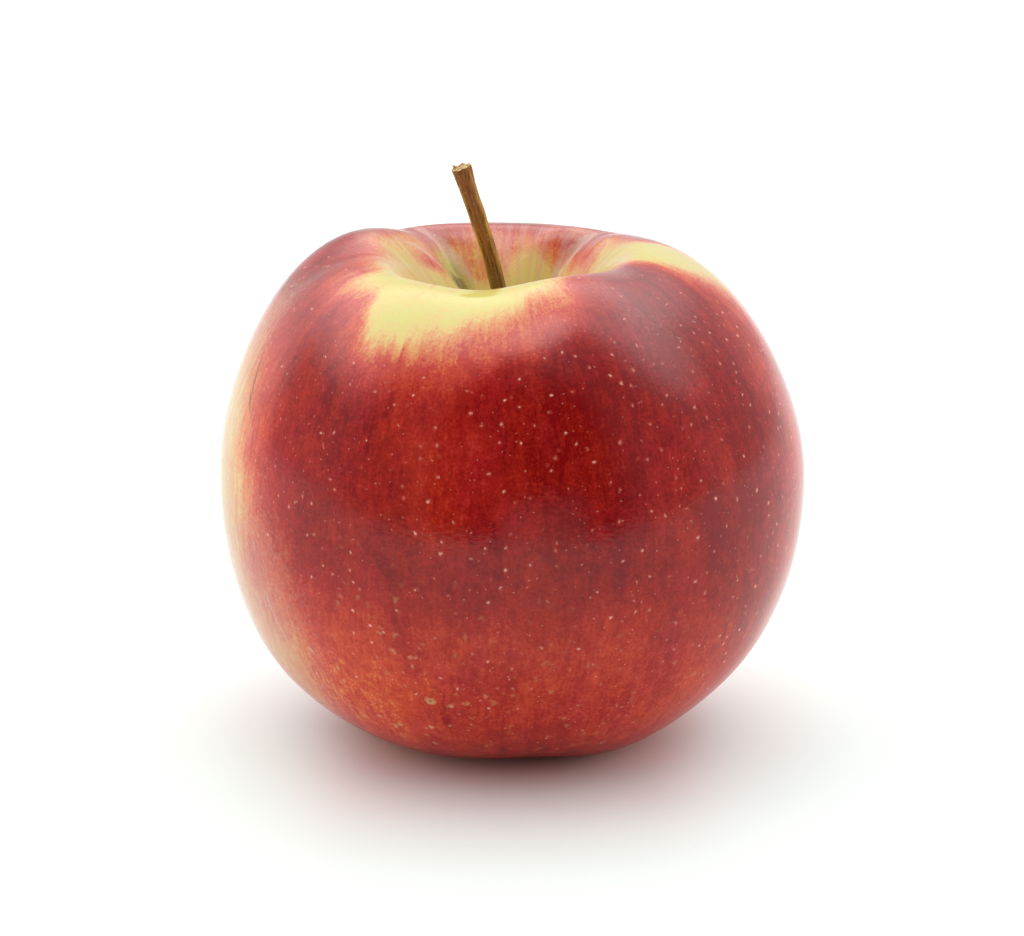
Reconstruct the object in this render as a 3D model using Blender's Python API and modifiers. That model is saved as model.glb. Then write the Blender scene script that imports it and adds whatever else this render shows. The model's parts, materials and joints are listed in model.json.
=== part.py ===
# A red apple: one solid fruit, the stem that grew out of its top hollow, and the dried
# remains of the flower in the hollow of its base.
#
# Metres, +Z up. The origin is on the surface that the apple rests on, below the middle
# of its box. -Y is the apple's front, where the lip of the stem hollow dips.

import math

import bmesh
import bpy
from mathutils import Matrix, Vector

MM = 0.001

# Half section of the fruit, before its lobes. Each stretch is one cubic curve.
WIDEST_RADIUS = 38.15 * MM
WIDEST_HEIGHT = 34.3 * MM
SHOULDER_RADIUS = 17.5 * MM       # ring of highest points around the stem hollow
SHOULDER_HEIGHT = 64.2 * MM
SHOULDER_ROUNDING = 9.0 * MM      # how far the curve runs level outside the ring
LIP_ROUNDING = 5.4 * MM           # and inside it
UPPER_FLANK = 17.0 * MM           # how far the curve runs upright above the widest level
LOWER_FLANK = 20.5 * MM           # and below it
PIT_HEIGHT = 48.0 * MM            # floor of the stem hollow
PIT_ROUNDING = 4.0 * MM
FOOT_RADIUS = 11.6 * MM           # ring of lowest points around the flower hollow
FOOT_ROUNDING = 14.9 * MM
BASIN_LIP_ROUNDING = 5.0 * MM
BASIN_HEIGHT = 9.5 * MM           # roof of the flower hollow
BASIN_ROUNDING = 5.5 * MM
FOOT_FLAT = 0.12 * MM             # how much of each foot is pressed flat

# Five lobes. Angles turn from the back, +Y, towards +X. Each lobe runs from its own
# valley to the next one. Rises are measured from the shoulder ring and from the foot ring;
# they are full outside the shoulder ring and fade towards the axis.
VALLEY_ANGLES_AT_SHOULDER = (39, 117, 194, 260, 318)
VALLEY_ANGLES_AT_FOOT = (35, 112, 172, 244, 311)
VALLEY_RISES = (-0.4 * MM, -0.4 * MM, -1.5 * MM, -0.3 * MM, 0.0 * MM)
CREST_RISES = (0.3 * MM, 0.2 * MM, -1.0 * MM, 1.4 * MM, -0.8 * MM)
FOOT_VALLEY_RISE = 0.75 * MM
FOOT_CREST_RISES = (0.0 * MM, 0.0 * MM, 0.5 * MM, 0.0 * MM, 0.0 * MM)
# Rib heights, as shares of the radius
RIB_AT_WIDEST = 0.004
RIB_AT_SHOULDER = 0.010
RIB_AT_FOOT = 0.012

# Growth that isn't round
SHOULDER_SHIFT = -1.05 * MM       # along X, with height
FOOT_SHIFT = -0.55 * MM
RIGHT_FLANK_FLAT = 0.50 * MM      # upper right flank, pulled in

FRUIT_STEPS = 60
CURVE_STEPS = (9, 11, 12, 7)      # rings in each stretch of the section, top to bottom

# Stem: its middle line and its radius along the way
STEM_ROUTE = (
    (0.1 * MM, 0.0 * MM, 48.9 * MM),
    (-1.0 * MM, 0.2 * MM, 55.5 * MM),
    (-2.6 * MM, 0.3 * MM, 62.4 * MM),
    (-4.2 * MM, 0.1 * MM, 67.8 * MM),
    (-5.5 * MM, -0.2 * MM, 71.8 * MM),
    (-6.5 * MM, -0.5 * MM, 75.2 * MM),
)
STEM_RADII = (0.85 * MM, 0.93 * MM, 0.98 * MM, 1.07 * MM, 1.12 * MM, 1.32 * MM)

# Dried flower in the base
GAP = 0.3 * MM                    # clearance where a piece meets the fruit
SEPAL_COUNT = 5
SEPAL_LENGTH = 5.6 * MM
SEPAL_WIDTH = 3.2 * MM
SEPAL_TIP_WIDTH = 0.35 * MM
SEPAL_THICKNESS = 0.35 * MM
SEPAL_RING_RADIUS = 3.0 * MM
SEPAL_CUP = 0.45 * MM             # how far its edges curl inwards
SEPAL_LEAN_AT_ROOT = 4            # degrees outwards from straight down
SEPAL_LEAN_AT_TIP = 68
STAMEN_COUNT = 12
STAMEN_RING_RADIUS = 1.6 * MM
STAMEN_LENGTH = 2.9 * MM
STAMEN_RADII = (0.19 * MM, 0.14 * MM, 0.13 * MM, 0.27 * MM, 0.17 * MM)
STYLE_LENGTH = 2.1 * MM
STYLE_RADII = (0.50 * MM, 0.36 * MM, 0.30 * MM, 0.34 * MM, 0.20 * MM)

SKIN_RED = (0.36, 0.025, 0.020)
STEM_BROWN = (0.20, 0.115, 0.040)
SEPAL_BROWN = (0.105, 0.070, 0.040)
STAMEN_BROWN = (0.050, 0.030, 0.018)


def clear_scene():
    for obj in list(bpy.data.objects):
        bpy.data.objects.remove(obj, do_unlink=True)


def make_material(name, colour, roughness):
    material = bpy.data.materials.new(name)
    material.use_nodes = True
    shader = material.node_tree.nodes["Principled BSDF"]
    shader.inputs["Base Color"].default_value = (*colour, 1.0)
    shader.inputs["Roughness"].default_value = roughness
    shader.inputs["Metallic"].default_value = 0.0
    material.diffuse_color = (*colour, 1.0)
    return material


def finish_object(obj, material, collection):
    obj.data.materials.append(material)
    collection.objects.link(obj)
    return obj


def smooth_step(value, low, high):
    share = min(max((value - low) / (high - low), 0.0), 1.0)
    return share * share * (3.0 - 2.0 * share)


def cubic(start, start_handle, end_handle, end, steps):
    """Points of a cubic curve, without its last one."""
    points = []
    for index in range(steps):
        t = index / steps
        u = 1.0 - t
        points.append(tuple(
            u * u * u * a + 3.0 * u * u * t * b + 3.0 * u * t * t * c + t * t * t * d
            for a, b, c, d in zip(start, start_handle, end_handle, end)))
    return points


def fruit_section():
    """Radius and height from the pit, over the shoulder and the foot, to the basin."""
    pit = (0.0, PIT_HEIGHT)
    shoulder = (SHOULDER_RADIUS, SHOULDER_HEIGHT)
    widest = (WIDEST_RADIUS, WIDEST_HEIGHT)
    foot = (FOOT_RADIUS, -FOOT_FLAT)
    basin = (0.0, BASIN_HEIGHT)
    section = cubic(pit, (PIT_ROUNDING, PIT_HEIGHT),
                    (SHOULDER_RADIUS - LIP_ROUNDING, SHOULDER_HEIGHT), shoulder, CURVE_STEPS[0])
    section += cubic(shoulder, (SHOULDER_RADIUS + SHOULDER_ROUNDING, SHOULDER_HEIGHT),
                     (WIDEST_RADIUS, WIDEST_HEIGHT + UPPER_FLANK), widest, CURVE_STEPS[1])
    section += cubic(widest, (WIDEST_RADIUS, WIDEST_HEIGHT - LOWER_FLANK),
                     (FOOT_RADIUS + FOOT_ROUNDING, -FOOT_FLAT), foot, CURVE_STEPS[2])
    section += cubic(foot, (FOOT_RADIUS - BASIN_LIP_ROUNDING, -FOOT_FLAT),
                     (BASIN_ROUNDING, BASIN_HEIGHT), basin, CURVE_STEPS[3])
    section.append(basin)
    return section


def lobe_at(angle, height):
    """Crest share, 0 in a valley to 1 on a crest, and the rises at shoulder and foot."""
    level = smooth_step(height, 0.0, SHOULDER_HEIGHT)
    valleys = [math.radians(foot + (top - foot) * level)
               for foot, top in zip(VALLEY_ANGLES_AT_FOOT, VALLEY_ANGLES_AT_SHOULDER)]
    angle %= math.tau
    if angle < valleys[0]:
        angle += math.tau
    count = len(valleys)
    index = max(i for i in range(count) if angle >= valleys[i])
    following = (index + 1) % count
    end = valleys[following] + (math.tau if following == 0 else 0.0)
    share = (angle - valleys[index]) / (end - valleys[index])
    crest = (1.0 - math.cos(math.tau * share)) / 2.0
    valley_rise = VALLEY_RISES[index if share < 0.5 else following]
    top_rise = valley_rise + (CREST_RISES[index] - valley_rise) * crest
    foot_rise = FOOT_VALLEY_RISE + (FOOT_CREST_RISES[index] - FOOT_VALLEY_RISE) * crest
    return crest, top_rise, foot_rise


def shape_fruit_point(point):
    """Moves one point of the turned fruit to its place on the grown one."""
    radius = math.hypot(point.x, point.y)
    angle = math.atan2(point.x, point.y)
    above = smooth_step(point.z, WIDEST_HEIGHT, SHOULDER_HEIGHT)
    below = 1.0 - smooth_step(point.z, 0.0, WIDEST_HEIGHT)
    crest, top_rise, foot_rise = lobe_at(angle, point.z)
    rib_share = (RIB_AT_WIDEST + (RIB_AT_FOOT - RIB_AT_WIDEST) * below ** 2
                 + (RIB_AT_SHOULDER - RIB_AT_WIDEST) * above ** 2)
    grown = radius * (1.0 + rib_share * (2.0 * crest - 1.0))
    fade = min(radius / SHOULDER_RADIUS, 1.0) ** 2
    lift = fade * (above ** 4 * top_rise + below ** 6 * foot_rise)
    right = max(math.sin(angle), 0.0) ** 2 * min(radius / WIDEST_RADIUS, 1.0)
    shift = (SHOULDER_SHIFT * above ** 2 + FOOT_SHIFT * below ** 2
             - RIGHT_FLANK_FLAT * right * 4.0 * above * (1.0 - above))
    return Vector((grown * math.sin(angle) + shift, grown * math.cos(angle), point.z + lift))


def make_fruit(collection):
    section = fruit_section()
    outline = bpy.data.meshes.new("fruit_section")
    outline.from_pydata([(radius, 0.0, height) for radius, height in section],
                        [(i, i + 1) for i in range(len(section) - 1)], [])
    turned = bpy.data.objects.new("fruit_turned", outline)
    collection.objects.link(turned)
    screw = turned.modifiers.new("turn", "SCREW")
    screw.axis = "Z"
    screw.angle = math.tau
    screw.steps = FRUIT_STEPS
    screw.render_steps = FRUIT_STEPS
    screw.use_merge_vertices = True
    screw.merge_threshold = 0.00001
    bpy.context.view_layer.update()
    depsgraph = bpy.context.evaluated_depsgraph_get()
    mesh = bpy.data.meshes.new_from_object(turned.evaluated_get(depsgraph))
    bpy.data.objects.remove(turned, do_unlink=True)
    mesh.name = "fruit"

    grown = bmesh.new()
    grown.from_mesh(mesh)
    for vertex in grown.verts:
        vertex.co = shape_fruit_point(vertex.co)
    # The feet are pressed flat where they meet the surface.
    bmesh.ops.bisect_plane(grown, geom=grown.verts[:] + grown.edges[:] + grown.faces[:],
                           dist=1e-7, plane_co=(0, 0, 0), plane_no=(0, 0, -1), clear_outer=True)
    rims = [edge for edge in grown.edges if edge.is_boundary]
    bmesh.ops.holes_fill(grown, edges=rims, sides=0)
    bmesh.ops.recalc_face_normals(grown, faces=grown.faces)
    grown.to_mesh(mesh)
    grown.free()
    mesh.shade_smooth()
    mesh.set_sharp_from_angle(angle=math.radians(40))
    fruit = bpy.data.objects.new("fruit", mesh)
    return finish_object(fruit, make_material("apple_skin", SKIN_RED, 0.25), collection)


def basin_height(radius):
    """Height of the flower hollow's surface at a distance from the axis."""
    section = fruit_section()[sum(CURVE_STEPS[:3]):]
    for (outer, low), (inner, high) in zip(section, section[1:]):
        if inner <= radius <= outer:
            return low + (high - low) * (outer - radius) / (outer - inner)
    return BASIN_HEIGHT


def make_rod(name, points, radii, spline_type, bevel_resolution, material, collection):
    """A closed rod along a route, with its own radius at each point."""
    curve = bpy.data.curves.new(name, "CURVE")
    curve.dimensions = "3D"
    curve.bevel_depth = 1.0
    curve.bevel_resolution = bevel_resolution
    curve.use_fill_caps = True
    curve.resolution_u = 5
    spline = curve.splines.new(spline_type)
    if spline_type == "BEZIER":
        spline.bezier_points.add(len(points) - 1)
        for knot, place, radius in zip(spline.bezier_points, points, radii):
            knot.co = place
            knot.radius = radius
            knot.handle_left_type = "AUTO"
            knot.handle_right_type = "AUTO"
    else:
        spline.points.add(len(points) - 1)
        for knot, place, radius in zip(spline.points, points, radii):
            knot.co = (*place, 1.0)
            knot.radius = radius
    spline.use_smooth = True
    rod = bpy.data.objects.new(name, curve)
    return finish_object(rod, material, collection)


def make_stem(collection):
    make_rod("stem", STEM_ROUTE, STEM_RADII, "BEZIER", 3,
             make_material("stem_bark", STEM_BROWN, 0.7), collection)


def sepal_mesh():
    """A tapered leaf that hangs from the +X side of the ring and turns outwards."""
    segments_across = 4
    segments_along = 8
    leaf = bmesh.new()
    bmesh.ops.create_grid(leaf, x_segments=segments_across, y_segments=segments_along, size=1.0)
    step = SEPAL_LENGTH / segments_along
    root_height = basin_height(SEPAL_RING_RADIUS) - GAP - SEPAL_THICKNESS / 2.0
    spine = [Vector((SEPAL_RING_RADIUS, 0.0, root_height))]
    for index in range(segments_along):
        share = ((index + 0.5) / segments_along) ** 2
        lean = math.radians(SEPAL_LEAN_AT_ROOT + (SEPAL_LEAN_AT_TIP - SEPAL_LEAN_AT_ROOT) * share)
        spine.append(spine[-1] + step * Vector((math.sin(lean), 0.0, -math.cos(lean))))
    for vertex in leaf.verts:
        along = round((vertex.co.y + 1.0) / 2.0 * segments_along)
        share = along / segments_along
        width = SEPAL_TIP_WIDTH + (SEPAL_WIDTH - SEPAL_TIP_WIDTH) * (1.0 - share ** 1.6)
        across = vertex.co.x
        cup = SEPAL_CUP * across * across * (1.0 - share)
        vertex.co = spine[along] + Vector((-cup, across * width / 2.0, 0.0))
    mesh = bpy.data.meshes.new("sepal")
    bmesh.ops.recalc_face_normals(leaf, faces=leaf.faces)
    leaf.to_mesh(mesh)
    leaf.free()
    mesh.shade_smooth()
    return mesh


def make_sepals(collection):
    mesh = sepal_mesh()
    mesh.materials.append(make_material("dried_sepal", SEPAL_BROWN, 0.85))
    for number in range(SEPAL_COUNT):
        sepal = bpy.data.objects.new(f"sepal_{number + 1}", mesh)
        sepal.location.x = FOOT_SHIFT
        sepal.rotation_euler.z = math.tau * (number + 0.25) / SEPAL_COUNT
        thickness = sepal.modifiers.new("thickness", "SOLIDIFY")
        thickness.thickness = SEPAL_THICKNESS
        thickness.offset = 0.0
        collection.objects.link(sepal)


def make_stamens(collection):
    material = make_material("dried_stamen", STAMEN_BROWN, 0.9)
    knots = len(STAMEN_RADII)
    root_height = basin_height(STAMEN_RING_RADIUS) - GAP
    for number in range(STAMEN_COUNT):
        turn = Matrix.Rotation(math.tau * number / STAMEN_COUNT, 3, "Z")
        lean = math.radians(2.0 + 5.0 * (number % 3))
        length = STAMEN_LENGTH * (1.0 - 0.10 * (number % 4))
        points = []
        for index in range(knots):
            along = length * index / (knots - 1)
            outwards = STAMEN_RING_RADIUS + along * math.sin(lean)
            point = turn @ Vector((outwards, 0.0, root_height - along * math.cos(lean)))
            points.append(point + Vector((FOOT_SHIFT, 0.0, 0.0)))
        make_rod(f"stamen_{number + 1}", points, STAMEN_RADII, "POLY", 1, material, collection)


def make_style(collection):
    knots = len(STYLE_RADII)
    top = BASIN_HEIGHT - GAP
    points = [(FOOT_SHIFT, 0.0, top - STYLE_LENGTH * index / (knots - 1))
              for index in range(knots)]
    make_rod("style", points, STYLE_RADII, "POLY", 1,
             make_material("dried_style", STAMEN_BROWN, 0.9), collection)


def main():
    clear_scene()
    collection = bpy.data.collections.new("red_apple")
    bpy.context.scene.collection.children.link(collection)
    make_fruit(collection)
    make_stem(collection)
    make_sepals(collection)
    make_stamens(collection)
    make_style(collection)


main()
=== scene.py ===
import json
import math
from types import SimpleNamespace

import bmesh
import bpy
import numpy as np
from mathutils import Matrix, Vector
from mathutils.noise import noise as noiseAt

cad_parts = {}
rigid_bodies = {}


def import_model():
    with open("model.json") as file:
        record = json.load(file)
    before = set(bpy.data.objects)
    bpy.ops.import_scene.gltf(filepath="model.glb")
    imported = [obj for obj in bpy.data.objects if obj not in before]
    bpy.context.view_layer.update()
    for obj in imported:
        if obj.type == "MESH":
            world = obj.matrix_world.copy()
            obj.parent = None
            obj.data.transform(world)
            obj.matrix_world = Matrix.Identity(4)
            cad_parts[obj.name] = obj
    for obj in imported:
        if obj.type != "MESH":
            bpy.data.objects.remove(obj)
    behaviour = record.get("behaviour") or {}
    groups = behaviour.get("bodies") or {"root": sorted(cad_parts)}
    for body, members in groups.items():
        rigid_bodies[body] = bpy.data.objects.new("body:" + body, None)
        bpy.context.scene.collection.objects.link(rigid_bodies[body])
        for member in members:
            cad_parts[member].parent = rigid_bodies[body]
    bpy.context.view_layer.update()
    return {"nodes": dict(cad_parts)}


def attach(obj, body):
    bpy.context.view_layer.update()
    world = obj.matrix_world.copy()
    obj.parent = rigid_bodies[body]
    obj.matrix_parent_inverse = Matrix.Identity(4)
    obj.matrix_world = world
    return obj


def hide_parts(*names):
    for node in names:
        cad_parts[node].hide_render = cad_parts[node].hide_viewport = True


for startupObject in list(bpy.data.objects):
    bpy.data.objects.remove(startupObject, do_unlink=True)

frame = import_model()
mm = 0.001
print("frame loaded:", len(frame["nodes"]), "nodes")


# Node helpers: a value goes on the socket, another node's output is wired to it, and a
# helper works in the tree of the first socket that it is given

def wire(value, socket):
    if isinstance(value, bpy.types.NodeSocket):
        socket.id_data.links.new(value, socket)
    elif socket.type == "RGBA":
        socket.default_value = (*value, 1.0)
    else:
        socket.default_value = value


def setInputs(node, inputs):
    for name, value in inputs.items():
        wire(value, node.inputs[name])


def addNode(tree, kind, inputs=None, **settings):
    node = tree.nodes.new("ShaderNode" + kind)
    for name, value in settings.items():
        setattr(node, name, value)
    setInputs(node, inputs or {})
    return node


def treeOf(*values):
    return next(value.id_data for value in values if isinstance(value, bpy.types.NodeSocket))


def calc(operation, *values, clamp=False):
    node = addNode(treeOf(*values), "Math", dict(enumerate(values)), operation=operation,
                   use_clamp=clamp)
    return node.outputs[0]


def product(first, *others):
    for other in others:
        first = calc("MULTIPLY", first, other)
    return first


def ease(value, low, high, start=0.0, end=1.0):
    node = addNode(value.id_data, "MapRange", {"Value": value, "From Min": low, "From Max": high,
                                               "To Min": start, "To Max": end},
                   interpolation_type="SMOOTHSTEP")
    return node.outputs[0]


def noise(place, scale, detail=3.0, roughness=0.55, squeeze=None):
    if squeeze:
        inputs = {"Vector": place, "Scale": (1.0, 1.0, squeeze)}
        place = addNode(place.id_data, "Mapping", inputs).outputs[0]
    inputs = {"Vector": place, "Scale": scale, "Detail": detail, "Roughness": roughness}
    return addNode(place.id_data, "TexNoise", inputs).outputs["Fac"]


def cells(place, scale, evenness=1.0):
    inputs = {"Vector": place, "Scale": scale, "Randomness": evenness}
    node = addNode(place.id_data, "TexVoronoi", inputs)
    return node.outputs["Distance"], split(node.outputs["Color"])[0]


def addPattern(base, pattern, amount, middle=0.5):
    return calc("MULTIPLY_ADD", calc("SUBTRACT", pattern, middle), amount, base)


def vectorCalc(operation, first, second):
    inputs = {0: first, "Scale" if operation == "SCALE" else 1: second}
    return addNode(first.id_data, "VectorMath", inputs, operation=operation).outputs[0]


# place is pushed about by a noise that is read at another place
def warp(place, readAt, scale, amount, detail=2.0, middle=0.0):
    drift = addNode(place.id_data, "TexNoise", {"Vector": readAt, "Scale": scale, "Detail": detail})
    drift = vectorCalc("SUBTRACT", drift.outputs["Color"], (middle,) * 3)
    return vectorCalc("ADD", place, vectorCalc("SCALE", drift, amount))


def split(vector):
    return addNode(vector.id_data, "SeparateXYZ", {"Vector": vector}).outputs


def turnFromFront(x, y):
    return calc("DEGREES", calc("ARCTAN2", x, calc("MULTIPLY", y, -1.0)))


def blendColours(share, first, second, mode="MIX"):
    node = addNode(treeOf(share, first, second), "Mix", {0: share, 6: first, 7: second},
                   data_type="RGBA", blend_type=mode)
    return node.outputs[2]


def blendLevels(share, first, second):
    node = addNode(treeOf(share, first, second), "Mix", {0: share, 2: first, 3: second},
                   data_type="FLOAT")
    return node.outputs[0]


def colourRamp(share, stops):
    node = addNode(share.id_data, "ValToRGB", {"Fac": share})
    elements = node.color_ramp.elements
    while len(elements) < len(stops):
        elements.new(0.5)
    for element, (position, colour) in zip(elements, stops):
        element.position = position
        element.color = (*colour, 1.0)
    return node.outputs[0]


def bumpFrom(height, distance, strength):
    inputs = {"Height": height, "Distance": distance, "Strength": strength}
    return addNode(height.id_data, "Bump", inputs).outputs[0]


def newMaterial(name):
    material = bpy.data.materials.new(name)
    material.use_nodes = True
    tree = material.node_tree
    tree.nodes.clear()
    output = addNode(tree, "OutputMaterial")
    shader = addNode(tree, "BsdfPrincipled")
    tree.links.new(shader.outputs[0], output.inputs[0])
    return material, tree, shader, addNode(tree, "TexCoord").outputs["Object"]


def attribute(tree, name, output="Fac"):
    return addNode(tree, "Attribute", attribute_name=name).outputs[output]


# Mesh helpers: shapes are worked out in mm and stored in metres

def addObject(name, data):
    made = bpy.data.objects.new(name, data)
    bpy.context.scene.collection.objects.link(made)
    return made


def addPiece(mesh, name, material, slot, *nodes):
    mesh.materials.append(material)
    mesh.shade_smooth()
    piece = addObject(name, mesh)
    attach(piece, "root")
    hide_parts(*nodes)
    return piece


def spinLine(shape, line, turns, mergeWithin):
    for first, second in zip(line, line[1:]):
        shape.edges.new((first, second))
    bmesh.ops.spin(shape, geom=shape.verts[:] + shape.edges[:], cent=(0, 0, 0), axis=(0, 0, 1),
                   angle=math.tau, steps=turns, use_merge=True)
    bmesh.ops.remove_doubles(shape, verts=shape.verts, dist=mergeWithin)
    bmesh.ops.recalc_face_normals(shape, faces=shape.faces)


def meshFrom(shape, name):
    mesh = bpy.data.meshes.new(name)
    shape.to_mesh(mesh)
    shape.free()
    return mesh


def pointsOf(mesh):
    points = np.empty(len(mesh.vertices) * 3)
    mesh.vertices.foreach_get("co", points)
    return points.reshape(-1, 3)


def movePoints(mesh, points):
    mesh.vertices.foreach_set("co", (points * mm).ravel())
    mesh.update()


def setAttribute(mesh, name, values):
    kind, field = ("FLOAT_VECTOR", "vector") if values.ndim == 2 else ("FLOAT", "value")
    layer = mesh.attributes.new(name, kind, "POINT")
    layer.data.foreach_set(field, values.astype(np.float32).ravel())


def smoothStep(value, low, high):
    share = np.clip((value - low) / (high - low), 0.0, 1.0)
    return share * share * (3.0 - 2.0 * share)


def shortWay(angle):
    return (angle + math.pi) % math.tau - math.pi


# Fruit. Heights and radii in mm, angles in degrees from the back, +Y, towards +X

fruitShape = dict(
    turns=320, rings=(56, 60, 66, 40), mergeWithin=1e-7,
    widestRadius=38.15, widestHeight=34.3,
    shoulderRadius=17.5, shoulderHeight=64.2, shoulderRounding=9.0, lipRounding=5.4,
    upperFlank=17.0, lowerFlank=20.5,
    pitHeight=48.0, pitRounding=4.0,
    footRadius=11.6, footRounding=14.9, footFlat=0.12,
    basinLipRounding=5.0, basinHeight=9.5, basinRounding=5.5,
    valleysAtShoulder=(39, 117, 194, 260, 318), valleysAtFoot=(35, 112, 172, 244, 311),
    valleyRises=(-0.4, -0.4, -1.5, -0.3, 0.0), crestRises=(0.3, 0.2, -1.0, 1.4, -0.45),
    footValleyRise=0.75, footCrestRises=(0.0, 0.0, 0.5, 0.0, 0.0),
    ribAtWidest=0.004, ribAtShoulder=0.010, ribAtFoot=0.012,
    topRiseFade=4, footRiseFade=6,
    shoulderShift=-1.05, footShift=-0.55, rightFlankFlat=0.50,
    # angle, slant, depth, half width, and where it starts, is deepest and ends, as radii
    creases=((40, -0.8, 2.9, 1.6, 3.0, 10.5, 21.0), (321, 1.9, 3.0, 1.9, 3.0, 11.0, 21.0),
             (283, 0.0, 0.5, 1.6, 3.0, 8.0, 16.0), (95, 0.0, 0.5, 1.8, 3.0, 8.0, 17.0),
             (8, 0.0, 0.35, 1.4, 3.0, 7.0, 15.0)),
    creaseWinding=2.5, creaseWaves=0.45, creaseRounding=0.6, creaseFade=3.0,
    # the ridge beside a crease, in shares of its depth and half width
    ridgeHeight=0.16, ridgePlace=2.6, ridgeWidth=1.1,
    dents=0.12, dentSize=9.0, unevenSize=6.0, shrink=0.9992,
)
growthUnit = 40.0     # mm of skin in one unit of growth


def cubic(start, startHandle, endHandle, end, steps):
    share = (np.arange(steps) / steps)[:, None]
    rest = 1.0 - share
    return (rest ** 3 * np.array(start) + 3.0 * rest * rest * share * np.array(startHandle)
            + 3.0 * rest * share * share * np.array(endHandle) + share ** 3 * np.array(end))


# the fruit's outline from the foot of the stem to the middle of the base, and how far
# each of its points lies below the highest ring, along the skin
def fruitSection(sizes):
    pit = (0.0, sizes.pitHeight)
    shoulder = (sizes.shoulderRadius, sizes.shoulderHeight)
    widest = (sizes.widestRadius, sizes.widestHeight)
    foot = (sizes.footRadius, -sizes.footFlat)
    basin = (0.0, sizes.basinHeight)
    rings = sizes.rings
    section = np.vstack([
        cubic(pit, (sizes.pitRounding, pit[1]),
              (shoulder[0] - sizes.lipRounding, shoulder[1]), shoulder, rings[0]),
        cubic(shoulder, (shoulder[0] + sizes.shoulderRounding, shoulder[1]),
              (widest[0], widest[1] + sizes.upperFlank), widest, rings[1]),
        cubic(widest, (widest[0], widest[1] - sizes.lowerFlank),
              (foot[0] + sizes.footRounding, foot[1]), foot, rings[2]),
        cubic(foot, (foot[0] - sizes.basinLipRounding, foot[1]),
              (sizes.basinRounding, basin[1]), basin, rings[3]),
        [basin]])
    walked = np.concatenate([[0.0], np.cumsum(np.hypot(*np.diff(section, axis=0).T))])
    return section, walked - walked[rings[0]]


# how far towards a lobe's crest a point lies, and the rise there at shoulder and foot
def lobesAt(angle, height, sizes):
    level = smoothStep(height, 0.0, sizes.shoulderHeight)
    valleys = np.stack([np.radians(foot + (top - foot) * level)
                        for foot, top in zip(sizes.valleysAtFoot, sizes.valleysAtShoulder)])
    turned = np.mod(angle, math.tau)
    turned = np.where(turned < valleys[0], turned + math.tau, turned)
    index = np.sum(turned >= valleys, axis=0) - 1
    following = (index + 1) % len(valleys)
    start = np.take_along_axis(valleys, index[None], 0)[0]
    end = np.take_along_axis(valleys, following[None], 0)[0]
    end = end + np.where(following == 0, math.tau, 0.0)
    share = (turned - start) / (end - start)
    crest = (1.0 - np.cos(math.tau * share)) / 2.0
    valleyRise = np.array(sizes.valleyRises)[np.where(share < 0.5, index, following)]
    topRise = valleyRise + (np.array(sizes.crestRises)[index] - valleyRise) * crest
    footValley = sizes.footValleyRise
    footRise = footValley + (np.array(sizes.footCrestRises)[index] - footValley) * crest
    return crest, topRise, footRise


def creaseLift(radius, angle, crease, sizes):
    turn, slant, depth, halfWidth, start, deepest, end = crease
    winding = sizes.creaseWinding * np.sin(radius * sizes.creaseWaves)
    middle = np.radians(turn + slant * (sizes.shoulderRadius - radius) + winding)
    aside = np.abs(shortWay(angle - middle)) * np.maximum(radius, 1.0) / halfWidth
    along = smoothStep(radius, start, deepest) * (1.0 - smoothStep(radius, deepest, end))
    groove = np.exp(-aside) * (1.0 + sizes.creaseRounding * aside)
    ridge = np.exp(-((aside - sizes.ridgePlace) / sizes.ridgeWidth) ** 2)
    return depth * along * (sizes.ridgeHeight * ridge - groove)


def growFruit(radius, height, angle, sizes):
    above = smoothStep(height, sizes.widestHeight, sizes.shoulderHeight)
    below = 1.0 - smoothStep(height, 0.0, sizes.widestHeight)
    crest, topRise, footRise = lobesAt(angle, height, sizes)
    rib = (sizes.ribAtWidest + (sizes.ribAtFoot - sizes.ribAtWidest) * below ** 2
           + (sizes.ribAtShoulder - sizes.ribAtWidest) * above ** 2)
    grown = radius * (1.0 + rib * (2.0 * crest - 1.0))
    fade = np.minimum(radius / sizes.shoulderRadius, 1.0) ** 2
    lift = fade * (above ** sizes.topRiseFade * topRise + below ** sizes.footRiseFade * footRise)
    right = np.maximum(np.sin(angle), 0.0) ** 2 * np.minimum(radius / sizes.widestRadius, 1.0)
    shift = (sizes.shoulderShift * above ** 2 + sizes.footShift * below ** 2
             - sizes.rightFlankFlat * right * 4.0 * above * (1.0 - above))
    fade = sizes.creaseFade
    inside = smoothStep(sizes.shoulderRadius + fade - radius, 0.0, fade) * (above > 0.0)
    for crease in sizes.creases:
        lift = lift + inside * creaseLift(radius, angle, crease, sizes)
    return np.stack([grown * np.sin(angle) + shift, grown * np.cos(angle), height + lift], -1)


# Where the skin is bare or red. around is in degrees from the front, + to the right;
# down is in mm along the skin from the highest ring, - inside the stem hollow.

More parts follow.
